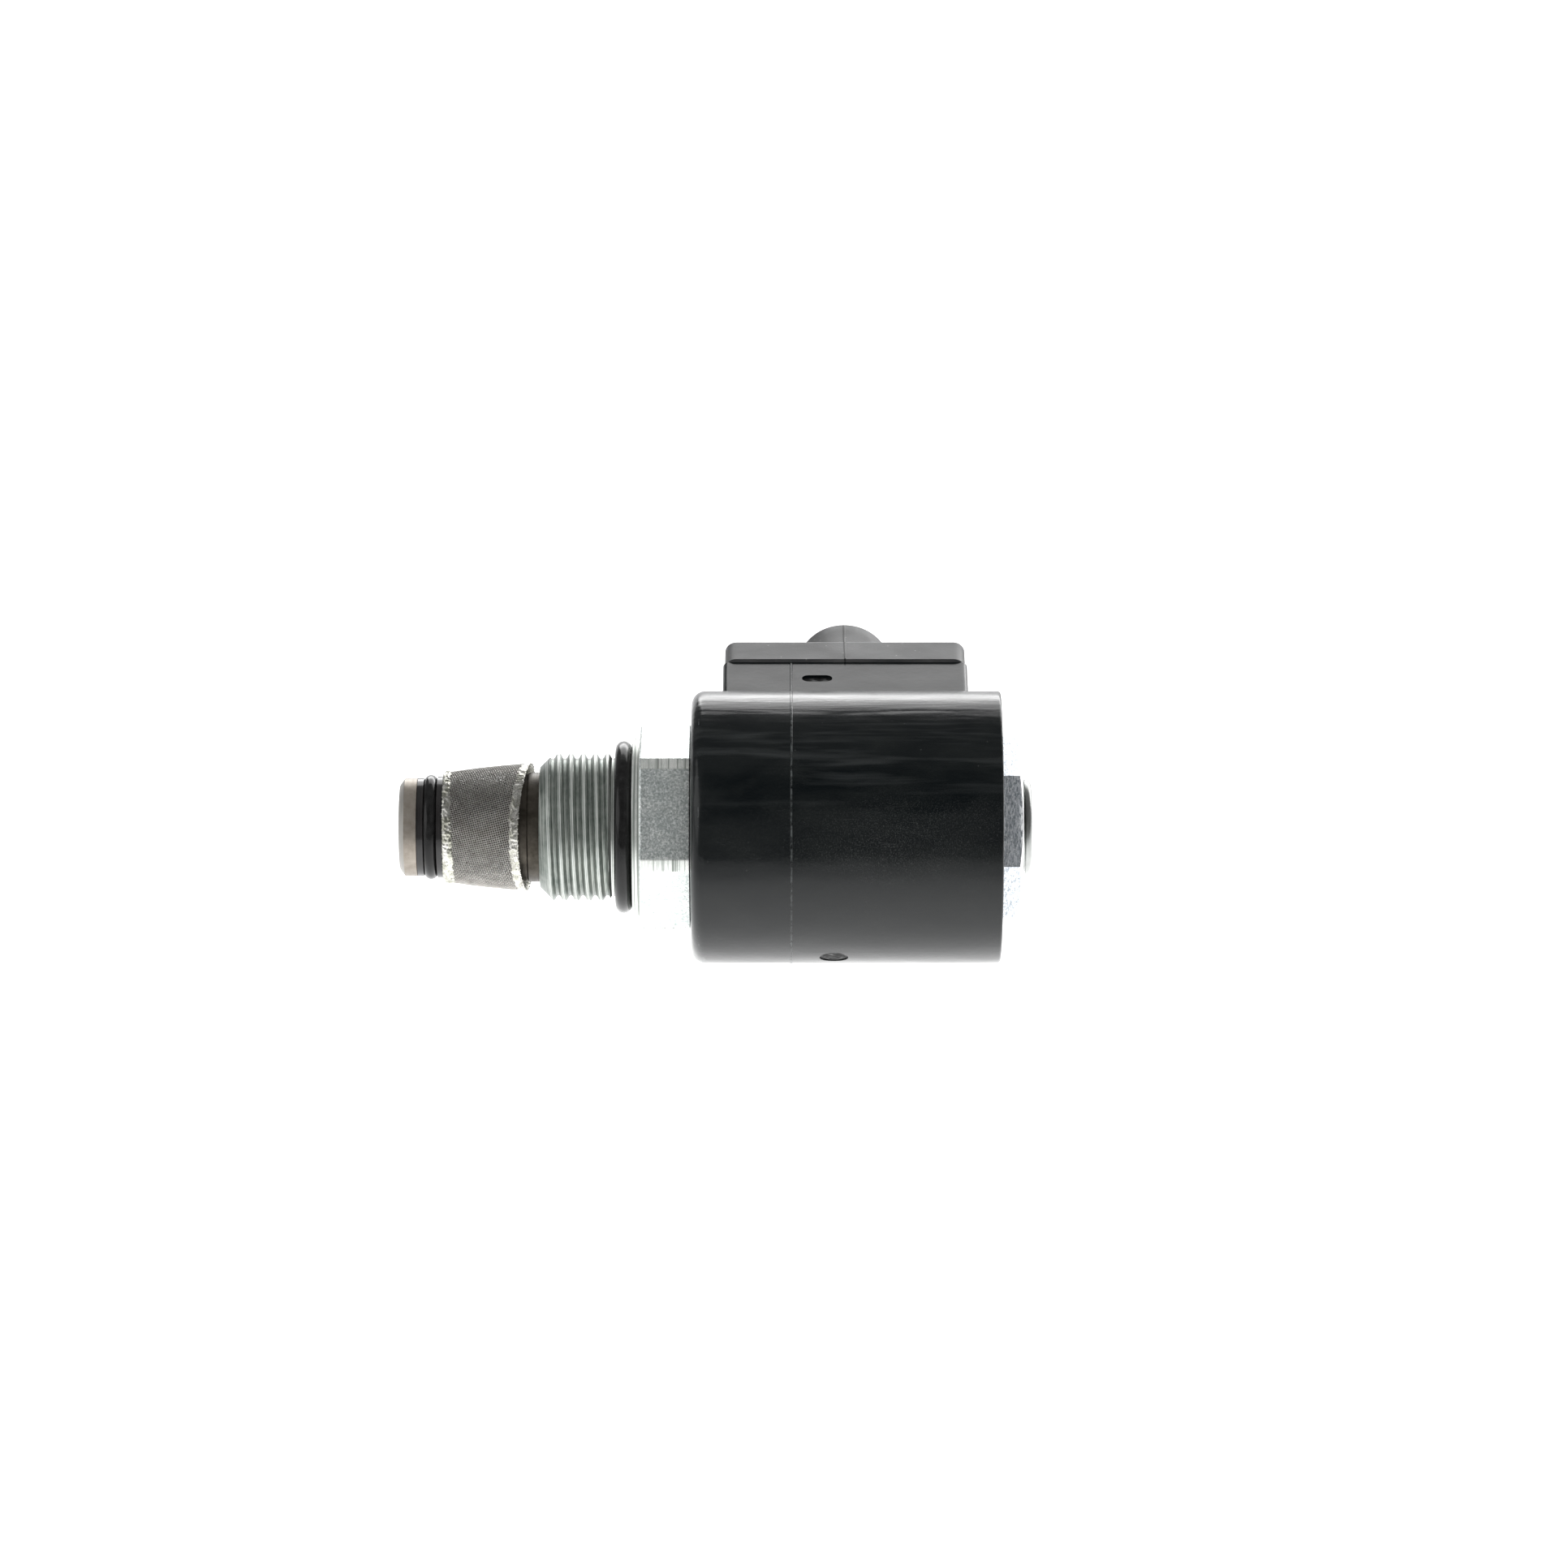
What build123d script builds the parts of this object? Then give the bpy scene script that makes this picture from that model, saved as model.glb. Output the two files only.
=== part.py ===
from build123d import *
import math
import os

# A two-port, screw-in solenoid cartridge valve with its coil, in millimetres.
# +X runs along the valve axis from the seat on the manifold towards the coil,
# -X into the cavity. The connector points along +Y and +Z is up.
# The origin is on the valve axis in the plane that seats on the manifold.

# Nose, its seals and the cage that holds the spool
nose_tip_x = -30.2
nose_r = 6.35
nose_rim_width = 0.65
nose_rim_depth = 0.9
seal_groove_x = (-27.9, -24.45)
seal_groove_r = 5.0
nose_ring_r = 0.88
nose_ring_proud = 0.45
backup_width = 0.8
backup_front_r = 6.4
backup_rear_r = 6.6
screen_land_r = 6.75
screen_land_end_x = -23.0
waist_r = 6.0
neck_x = -16.2
neck_step_x = -13.6
neck_r = 6.9
cage_r = 7.1
cage_end_x = -3.2
spool_bore_r = 3.5
cross_hole_x = -19.6
cross_hole_r = 2.0
cross_holes = 4

# Filter screen, a flared sleeve fixed at its nose end only
screen_x = (-24.4, -13.4)
screen_outer_r = (7.15, 8.4)
screen_wall = 0.35

# Valve body with the cavity thread, 3/4 in with 16 threads to the inch
thread_major_r = 9.525
thread_x = (-12.0, -3.0)
thread_chamfer = 0.8
relief_r = 8.95
shoulder_ring_r = 1.1
shoulder_ring_centre = (-1.15, 10.1)
washer_face_r = 11.6
washer_face_x = 1.0
hex_flats = 23.8
hex_corner_r = 13.3
hex_edge_break = 0.25
hex_end_x = 7.5
hex_flat_above_level = 37.0
cage_socket_r = 7.15
tube_socket_r = 6.4
retainer_socket_r = 7.65
retainer_socket_x = 2.0
tube_groove_x = (-1.3, 0.3)
tube_groove_r = 7.35

# Guide tube, its stop and its retainer
tube_r = 6.35
tube_bore_r = 5.6
tube_lower_bore_r = 4.6
tube_x = (-3.0, 46.4)
tube_flange_r = 7.6
tube_flange_x = (2.05, 4.0)
stop_x = (4.65, 5.9)
stop_bore_r = 2.2
retainer_x = (4.05, 7.0)
retainer_bore_r = 6.45

# Moving set: spool, link pin and armature, with the return spring
stroke = 2.0
running_gap = 0.03
armature_gap = 0.05
spool_x = (-22.5, -7.0)
spool_land_end_x = -16.5
spool_groove_end_x = -14.4
spool_groove_r = 2.5
spool_passage_r = 1.1
spool_vent_r = 0.6
link_r = 1.25
link_x = (-10.4, 9.9)
armature_x = (6.0, 26.0)
armature_slot = 1.2
spring_seat_x = (16.0, 33.0)
spring_pocket_r = 2.7
spring_wire_r = 0.35
spring_mean_r = 1.95
spring_turns = 12.0
shim_wall = 0.2
pole_gap_spare = 0.1
pole_face_x = armature_x[1] + stroke + pole_gap_spare + shim_wall
shim_r = (2.9, 5.3)
stud_shoulder_x = 47.0
stud_r = 6.25
stud_end_x = 51.75
stud_round = 0.8

# Coil: overmould, bobbin, winding and the steel that carries the flux
coil_x = (7.65, 47.75)
coil_r = 17.7
coil_front_round = 1.8
coil_rear_round = 0.4
end_skin = 1.2
seal_recess_r = 9.5
coil_seal_r = 0.56
coil_seal_centre_r = 8.0
coil_bore_r = 6.45
cavity_r = 15.95
washer_wall = 2.5
flux_outer_r = 15.9
flux_inner_r = 13.9
bobbin_flange = 1.2
bobbin_flange_r = 13.8
bobbin_tube_r = 7.35
winding_r = (7.4, 13.5)

# Connector block and the two-pin receptacle on it
connector_x = 27.7
block_size = (32.2, 25.2)
block_top_y = 22.15
block_round = 0.8
flange_size = (31.7, 26.0)
flange_y = (22.3, 27.5)
flange_corner_r = 1.5
flange_edge_round = 0.5
spigot_size = (24.0, 18.0)
spigot_y = 20.0
tower_size = (12.4, 18.0)
tower_top_y = 40.1
tower_wall = 1.3
tower_floor_y = 29.5
latch_size = (4.6, 1.3, 3.6)
latch_gap = 1.2
pin_r = 0.75
pin_pitch = 5.2
pin_y = (20.6, 35.6)
lead_r = 0.4
lead_hole_r = 0.5
lead_y = (13.6, 20.5)
window_size = (4.0, 9.0)

# Marks that the moulds leave on the plastic
seam_x = 20.6
seam_width = 0.24
seam_proud = 0.08
gate_slot = (4.0, 1.8)
gate_x = 24.0
gate_y = 17.6
gate_depth = 0.3
ejector_mark_x = 26.1
ejector_mark_above_level = -43.5
ejector_mark_r = 1.85
ejector_mark_depth = 0.2

# Coil nut and its seal
nut_x = (47.9, 50.5)
nut_flats = 20.4
nut_flat_above_level = 33.0
nut_bore_r = 6.3
nut_chamfer_r = 9.9
nut_recess = (7.05, 8.25)
nut_recess_end_x = 48.9
nut_seal_r = 0.42
nut_seal_centre = (48.38, 7.65)

clearance = 0.05


def lathe(*points):
    """A solid of revolution about X from an outline of (x, radius) points."""
    return revolve(make_face(Polyline(*points, close=True)), Axis.X)


def tube(x_range, outer_r, inner_r):
    """A plain sleeve about X."""
    x0, x1 = x_range
    return lathe((x0, inner_r), (x1, inner_r), (x1, outer_r), (x0, outer_r))


def rod(x_range, r):
    """A plain cylinder about X."""
    x0, x1 = x_range
    return lathe((x0, 0), (x1, 0), (x1, r), (x0, r))


def ring(x, centre_r, section_r):
    """An O-ring about X."""
    return revolve(Pos(x, centre_r) * Circle(section_r), Axis.X)


def hex_bar(x_range, flats, flat_above_level):
    """A hexagonal bar about X; one flat faces -Y, raised by the given angle."""
    turn = 90.0 - flat_above_level
    outline = RegularPolygon(flats / 2, 6, major_radius=False, rotation=turn)
    x0, x1 = x_range
    return extrude(Plane.YZ.offset(x0) * outline, x1 - x0)


def across_y(size_x, size_z, y0, y1, corner_r):
    """A block that stands on the connector's axis from y0 to y1."""
    plane = Plane(origin=(connector_x, y0, 0), x_dir=(1, 0, 0), z_dir=(0, 1, 0))
    if corner_r > 0:
        outline = RectangleRounded(size_x, size_z, corner_r)
    else:
        outline = Rectangle(size_x, size_z)
    return extrude(plane * outline, y1 - y0)


def y_pin(x, z, y0, y1, r):
    """A cylinder parallel to Y."""
    plane = Plane(origin=(x, y0, z), x_dir=(1, 0, 0), z_dir=(0, 1, 0))
    return extrude(plane * Circle(r), y1 - y0)


def edges_at_x(shape, x, r):
    """The circular edges about X at one station and radius."""
    found = shape.edges().filter_by(GeomType.CIRCLE)
    found = found.filter_by(lambda e: abs(e.radius - r) < 1e-3)
    return found.filter_by(lambda e: abs(e.arc_center.X - x) < 1e-3)


def make_cage():
    groove_x0, groove_x1 = seal_groove_x
    shape = lathe(
        (nose_tip_x, spool_bore_r),
        (nose_tip_x, nose_r - nose_rim_depth),
        (nose_tip_x + nose_rim_width, nose_r),
        (groove_x0, nose_r),
        (groove_x0, seal_groove_r),
        (groove_x1, seal_groove_r),
        (groove_x1, screen_land_r),
        (screen_land_end_x, screen_land_r),
        (screen_land_end_x + 0.6, waist_r),
        (neck_x - 0.6, waist_r),
        (neck_x, neck_r),
        (neck_step_x, neck_r),
        (neck_step_x + 0.2, cage_r),
        (cage_end_x, cage_r),
        (cage_end_x, spool_bore_r),
    )
    shape = chamfer(edges_at_x(shape, nose_tip_x, spool_bore_r), 0.4)
    for n in range(cross_holes):
        drill = extrude(Plane.XY * Circle(cross_hole_r), waist_r + 1)
        shape -= Rot(X=45 + 360 * n / cross_holes) * (Pos(X=cross_hole_x) * drill)
    return shape


def make_nose_backup_front():
    x0 = seal_groove_x[0] + clearance
    return tube((x0, x0 + backup_width), backup_front_r, seal_groove_r + clearance)


def make_nose_o_ring():
    middle = sum(seal_groove_x) / 2
    return ring(middle, nose_r + nose_ring_proud - nose_ring_r, nose_ring_r)


def make_nose_backup_rear():
    x1 = seal_groove_x[1] - clearance
    return tube((x1 - backup_width, x1), backup_rear_r, seal_groove_r + clearance)


def make_filter_screen():
    x0, x1 = screen_x
    r0, r1 = screen_outer_r
    return lathe((x0, r0 - screen_wall), (x1, r1 - screen_wall), (x1, r1), (x0, r0))


def make_valve_body():
    head = hex_bar((washer_face_x, hex_end_x), hex_flats, hex_flat_above_level)
    head &= lathe(
        (washer_face_x, 0),
        (washer_face_x, hex_corner_r - hex_edge_break),
        (washer_face_x + hex_edge_break, hex_corner_r),
        (hex_end_x - hex_edge_break, hex_corner_r),
        (hex_end_x, hex_corner_r - hex_edge_break),
        (hex_end_x, 0),
    )
    thread_start, thread_end = thread_x
    shank = lathe(
        (thread_start, 0),
        (thread_start, thread_major_r - thread_chamfer),
        (thread_start + thread_chamfer, thread_major_r),
        (thread_end, thread_major_r),
        (thread_end + 0.3, relief_r),
        (0, relief_r),
        (0, washer_face_r - 0.2),
        (0.2, washer_face_r),
        (washer_face_x, washer_face_r),
        (washer_face_x, 0),
    )
    inside = lathe(
        (thread_start - 1, 0),
        (thread_start - 1, cage_socket_r),
        (tube_x[0], cage_socket_r),
        (tube_x[0], tube_socket_r),
        (tube_groove_x[0], tube_socket_r),
        (tube_groove_x[0], tube_groove_r),
        (tube_groove_x[1], tube_groove_r),
        (tube_groove_x[1], tube_socket_r),
        (retainer_socket_x, tube_socket_r),
        (retainer_socket_x, retainer_socket_r),
        (hex_end_x + 1, retainer_socket_r),
        (hex_end_x + 1, 0),
    )
    return head + shank - inside


def make_shoulder_o_ring():
    x, r = shoulder_ring_centre
    return ring(x, r, shoulder_ring_r)


def make_tube_o_ring():
    x0, x1 = tube_groove_x
    section_r = (tube_groove_r - tube_r) / 2 - 0.04
    return ring((x0 + x1) / 2, (tube_groove_r + tube_r) / 2, section_r)


def make_guide_tube():
    x0, x1 = tube_x
    flange_x0, flange_x1 = tube_flange_x
    return lathe(
        (x0, tube_lower_bore_r),
        (x0, tube_r),
        (flange_x0, tube_r),
        (flange_x0, tube_flange_r),
        (flange_x1, tube_flange_r),
        (flange_x1, tube_r),
        (x1, tube_r),
        (x1, tube_bore_r),
        (stop_x[0] - clearance, tube_bore_r),
        (stop_x[0] - clearance, tube_lower_bore_r),
    )


def make_tube_retainer():
    return tube(retainer_x, retainer_socket_r - clearance, retainer_bore_r)


def make_armature_stop():
    return tube(stop_x, tube_bore_r - 0.02, stop_bore_r)


def make_pole_piece():
    shape = lathe(
        (pole_face_x, spring_pocket_r),
        (pole_face_x, tube_bore_r - 0.02),
        (tube_x[1] + 0.02, tube_bore_r - 0.02),
        (tube_x[1] + 0.02, tube_r),
        (stud_shoulder_x, tube_r),
        (stud_shoulder_x, stud_r),
        (stud_end_x, stud_r),
        (stud_end_x, 0),
        (spring_seat_x[1], 0),
        (spring_seat_x[1], spring_pocket_r),
    )
    return fillet(edges_at_x(shape, stud_end_x, stud_r), stud_round)


def make_residual_shim():
    inner_r, outer_r = shim_r
    return tube((pole_face_x - shim_wall, pole_face_x), outer_r, inner_r)


def make_spool():
    x0, x1 = spool_x
    land_r = spool_bore_r - running_gap
    shape = lathe(
        (x0, spool_passage_r),
        (x0, land_r),
        (spool_land_end_x, land_r),
        (spool_land_end_x, spool_groove_r),
        (spool_groove_end_x, spool_groove_r),
        (spool_groove_end_x, land_r),
        (x1, land_r),
        (x1, link_r + 0.02),
        (link_x[0] - 0.1, link_r + 0.02),
        (link_x[0] - 0.1, spool_passage_r),
    )
    vent_x = (spool_land_end_x + spool_groove_end_x) / 2
    vent = extrude(Plane.XY * Circle(spool_vent_r), 2 * spool_bore_r, both=True)
    return shape - Pos(X=vent_x) * vent


def make_link_pin():
    return rod(link_x, link_r)


def make_armature():
    x0, x1 = armature_x
    outer_r = tube_bore_r - armature_gap
    shape = lathe(
        (x0, link_r + 0.02),
        (x0, outer_r),
        (x1, outer_r),
        (x1, spring_pocket_r),
        (spring_seat_x[0], spring_pocket_r),
        (spring_seat_x[0], 0),
        (link_x[1] + 0.1, 0),
        (link_x[1] + 0.1, link_r + 0.02),
    )
    for side in (-1, 1):
        slot = Box(x1 - x0 + 2, armature_slot, armature_slot)
        shape -= Pos((x0 + x1) / 2, side * (outer_r - 0.2), 0) * slot
    return shape


def make_return_spring():
    x0 = spring_seat_x[0] + spring_wire_r + 0.05
    x1 = spring_seat_x[1] - spring_wire_r - 0.05
    path = Helix((x1 - x0) / spring_turns, x1 - x0, spring_mean_r)
    wire = sweep(Plane(origin=path @ 0, z_dir=path % 0) * Circle(spring_wire_r), path)
    return Pos(X=x0) * (Rot(Y=90) * wire)


def make_coil_housing():
    x0, x1 = coil_x
    can = rod(coil_x, coil_r)
    can = fillet(edges_at_x(can, x0, coil_r), coil_front_round)
    can = fillet(edges_at_x(can, x1, coil_r), coil_rear_round)
    block = across_y(*block_size, 5, block_top_y, 0)
    uprights = block.edges().filter_by(Axis.Y)
    block = fillet(uprights, block_round)
    half = seam_width / 2
    seam = rod((seam_x - half, seam_x + half), coil_r + seam_proud)
    rib = Box(seam_width, block_top_y, block_size[1] + 2 * seam_proud)
    seam += Pos(seam_x, block_top_y / 2, 0) * rib
    pocket = across_y(*spigot_size, spigot_y, block_top_y + 1, 1.0)
    inside = lathe(
        (x0 - 1, 0),
        (x0 - 1, seal_recess_r),
        (x0 + end_skin, seal_recess_r),
        (x0 + end_skin, cavity_r),
        (x1 - end_skin, cavity_r),
        (x1 - end_skin, seal_recess_r),
        (x1 + 1, seal_recess_r),
        (x1 + 1, 0),
    )
    shape = can + block + seam - pocket - inside
    slot_plane = Plane.XY.offset(block_size[1] / 2 - gate_depth)
    shape -= extrude(slot_plane * (Pos(gate_x, gate_y) * SlotOverall(*gate_slot)), 1)
    mark = extrude(Plane.XY * Circle(ejector_mark_r), 1)
    mark = Pos(ejector_mark_x, 0, coil_r - ejector_mark_depth) * mark
    shape -= Rot(X=90 - ejector_mark_above_level) * mark
    for side in (-1, 1):
        z = side * pin_pitch / 2
        shape -= y_pin(connector_x, z, coil_r - 3, spigot_y + 0.1, lead_hole_r)
    return shape


def make_flux_washer(side):
    x0, x1 = coil_x
    if side < 0:
        span = (x0 + end_skin + clearance, x0 + end_skin + washer_wall)
    else:
        span = (x1 - end_skin - washer_wall, x1 - end_skin - clearance)
    return tube(span, flux_outer_r, coil_bore_r)


def bobbin_span():
    """Where the bobbin runs, between the two flux washers."""
    inset = end_skin + washer_wall + clearance
    return coil_x[0] + inset, coil_x[1] - inset


def make_flux_sleeve():
    shape = tube(bobbin_span(), flux_outer_r, flux_inner_r)
    window = across_y(*window_size, flux_inner_r - 3, flux_outer_r + 3, 0)
    return shape - window


def make_bobbin():
    x0, x1 = bobbin_span()
    return lathe(
        (x0, coil_bore_r),
        (x0, bobbin_flange_r),
        (x0 + bobbin_flange, bobbin_flange_r),
        (x0 + bobbin_flange, bobbin_tube_r),
        (x1 - bobbin_flange, bobbin_tube_r),
        (x1 - bobbin_flange, bobbin_flange_r),
        (x1, bobbin_flange_r),
        (x1, coil_bore_r),
    )


def make_winding():
    x0, x1 = bobbin_span()
    inset = bobbin_flange + clearance
    inner_r, outer_r = winding_r
    return tube((x0 + inset, x1 - inset), outer_r, inner_r)


def make_coil_seal(side):
    depth = end_skin / 2
    x = coil_x[0] + depth if side < 0 else coil_x[1] - depth
    return ring(x, coil_seal_centre_r, coil_seal_r)


def make_connector_body():
    y0, y1 = flange_y
    flange = across_y(*flange_size, y0, y1, flange_corner_r)
    flange = fillet(flange.faces().sort_by(Axis.Y)[-1].edges(), flange_edge_round)
    spigot_x, spigot_z = spigot_size
    spigot = across_y(spigot_x - 0.2, spigot_z - 0.2, spigot_y + clearance, y0 + 0.5, 0.9)
    width, length = tower_size
    tower = across_y(width, length, y1 - 0.5, tower_top_y, width / 2 - 0.01)
    rim = tower.faces().sort_by(Axis.Y)[-1].edges()
    tower = fillet(rim, 0.3)
    bore_width = width - 2 * tower_wall
    bore_length = length - 2 * tower_wall
    mouth = across_y(bore_width, bore_length, tower_floor_y, tower_top_y + 1, bore_width / 2 - 0.01)
    latch_x, latch_y, latch_z = latch_size
    latch_middle = tower_top_y - latch_gap - latch_y
    ramp = Box(latch_x, 2 * latch_y, latch_z)
    ramp = chamfer(ramp.edges().filter_by(Axis.X).group_by(Axis.Z)[0], latch_y / 2)
    latch = Pos(connector_x, latch_middle, -length / 2 + latch_z / 2 - latch_y) * ramp
    seam_top = tower_top_y - flange_edge_round
    seam = Box(seam_width, seam_top - y1, length + 2 * seam_proud)
    seam = Pos(connector_x, (seam_top + y1) / 2, 0) * seam
    rib_top = y1 - flange_edge_round
    rib = Box(seam_width, rib_top - y0, flange_size[1] + 2 * seam_proud)
    seam += Pos(connector_x, (rib_top + y0) / 2, 0) * rib
    shape = flange + spigot + tower + latch + seam - mouth
    for side in (-1, 1):
        z = side * pin_pitch / 2
        shape -= y_pin(connector_x, z, spigot_y, tower_top_y, pin_r + 0.02)
    return shape


def make_terminal_pins():
    pins = []
    for side in (-1, 1):
        pin = y_pin(connector_x, side * pin_pitch / 2, *pin_y, pin_r)
        tip = pin.faces().sort_by(Axis.Y)[-1].edges()
        pins.append(chamfer(tip, pin_r / 2))
    return Compound(pins)


def make_terminal_leads():
    leads = []
    for side in (-1, 1):
        leads.append(y_pin(connector_x, side * pin_pitch / 2, *lead_y, lead_r))
    return Compound(leads)


def make_coil_nut():
    nut_corner_r = nut_flats / math.sqrt(3)
    rise = (nut_corner_r - nut_chamfer_r) * math.tan(math.radians(30))
    x0, x1 = nut_x
    inner_r, outer_r = nut_recess
    shape = hex_bar(nut_x, nut_flats, nut_flat_above_level)
    shape &= lathe(
        (x0, nut_bore_r),
        (x0, inner_r),
        (nut_recess_end_x, inner_r),
        (nut_recess_end_x, outer_r),
        (x0, outer_r),
        (x0, nut_corner_r - 0.4),
        (x0 + 0.25, nut_corner_r),
        (x1 - rise, nut_corner_r),
        (x1, nut_chamfer_r),
        (x1, nut_bore_r),
    )
    return shape


def make_nut_seal():
    x, r = nut_seal_centre
    return ring(x, r, nut_seal_r)


nodes = {
    "cage": make_cage(),
    "nose_backup_front": make_nose_backup_front(),
    "nose_o_ring": make_nose_o_ring(),
    "nose_backup_rear": make_nose_backup_rear(),
    "filter_screen": make_filter_screen(),
    "valve_body": make_valve_body(),
    "shoulder_o_ring": make_shoulder_o_ring(),
    "tube_o_ring": make_tube_o_ring(),
    "guide_tube": make_guide_tube(),
    "tube_retainer": make_tube_retainer(),
    "armature_stop": make_armature_stop(),
    "pole_piece": make_pole_piece(),
    "residual_shim": make_residual_shim(),
    "spool": make_spool(),
    "link_pin": make_link_pin(),
    "armature": make_armature(),
    "return_spring": make_return_spring(),
    "coil_housing": make_coil_housing(),
    "flux_washer_front": make_flux_washer(-1),
    "flux_washer_rear": make_flux_washer(1),
    "flux_sleeve": make_flux_sleeve(),
    "bobbin": make_bobbin(),
    "winding": make_winding(),
    "coil_seal_front": make_coil_seal(-1),
    "coil_seal_rear": make_coil_seal(1),
    "connector_body": make_connector_body(),
    "terminal_pins": make_terminal_pins(),
    "terminal_leads": make_terminal_leads(),
    "nut_seal": make_nut_seal(),
    "coil_nut": make_coil_nut(),
}

os.makedirs("parts", exist_ok=True)
for name, shape in nodes.items():
    export_step(shape, f"parts/{name}.step")
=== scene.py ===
import math

import bpy
import numpy as np
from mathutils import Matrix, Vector, noise


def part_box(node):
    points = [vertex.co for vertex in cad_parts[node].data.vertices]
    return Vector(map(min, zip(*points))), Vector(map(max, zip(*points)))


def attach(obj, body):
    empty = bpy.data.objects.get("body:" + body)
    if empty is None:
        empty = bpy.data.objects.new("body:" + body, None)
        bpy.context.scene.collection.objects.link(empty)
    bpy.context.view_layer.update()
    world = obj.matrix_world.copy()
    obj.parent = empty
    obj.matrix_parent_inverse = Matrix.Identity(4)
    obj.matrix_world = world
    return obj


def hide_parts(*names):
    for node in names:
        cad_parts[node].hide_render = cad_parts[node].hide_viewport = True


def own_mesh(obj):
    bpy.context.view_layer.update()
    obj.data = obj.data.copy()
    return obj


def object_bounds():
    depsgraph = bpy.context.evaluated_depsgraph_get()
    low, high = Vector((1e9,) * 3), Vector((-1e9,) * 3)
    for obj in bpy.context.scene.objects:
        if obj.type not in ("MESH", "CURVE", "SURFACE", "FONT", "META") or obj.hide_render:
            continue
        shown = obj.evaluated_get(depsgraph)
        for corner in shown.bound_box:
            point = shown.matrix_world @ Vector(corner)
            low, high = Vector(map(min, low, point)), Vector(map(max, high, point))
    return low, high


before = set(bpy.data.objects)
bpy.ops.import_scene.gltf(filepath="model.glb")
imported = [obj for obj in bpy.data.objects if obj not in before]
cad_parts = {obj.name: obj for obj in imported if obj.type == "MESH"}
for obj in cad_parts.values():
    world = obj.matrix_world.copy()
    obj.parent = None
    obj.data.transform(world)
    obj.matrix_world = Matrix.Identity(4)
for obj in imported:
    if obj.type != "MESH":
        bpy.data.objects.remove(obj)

CAD_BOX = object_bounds()

# Lengths are in metres in materials, lights and the camera, and in millimetres in
# the mesh code. The valve's axis is X, with the nose at the low end.
MM = 0.001

# ---------------------------------------------------------------- camera

CAMERA_ELEVATION = math.radians(28.5)
CAMERA_DISTANCE = 0.95
VIEW_WIDTH = 0.2038
SENSOR_WIDTH = 36.0
AIM_X = 19.65 * MM
AIM_ABOVE_AXIS = 5.6 * MM


def make_camera():
    toward_camera = Vector((0, -math.cos(CAMERA_ELEVATION), math.sin(CAMERA_ELEVATION)))
    image_up = Vector((0, math.sin(CAMERA_ELEVATION), math.cos(CAMERA_ELEVATION)))
    aim = Vector((AIM_X, 0, 0)) + AIM_ABOVE_AXIS * image_up
    data = bpy.data.cameras.new("camera")
    data.sensor_width = SENSOR_WIDTH
    data.lens = SENSOR_WIDTH * CAMERA_DISTANCE / VIEW_WIDTH
    data.clip_start = 0.01
    camera = bpy.data.objects.new("camera", data)
    bpy.context.collection.objects.link(camera)
    camera.location = aim + CAMERA_DISTANCE * toward_camera
    camera.rotation_euler = (-toward_camera).to_track_quat("-Z", "Y").to_euler()
    bpy.context.scene.camera = camera


# ---------------------------------------------------------------- material tools


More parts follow.
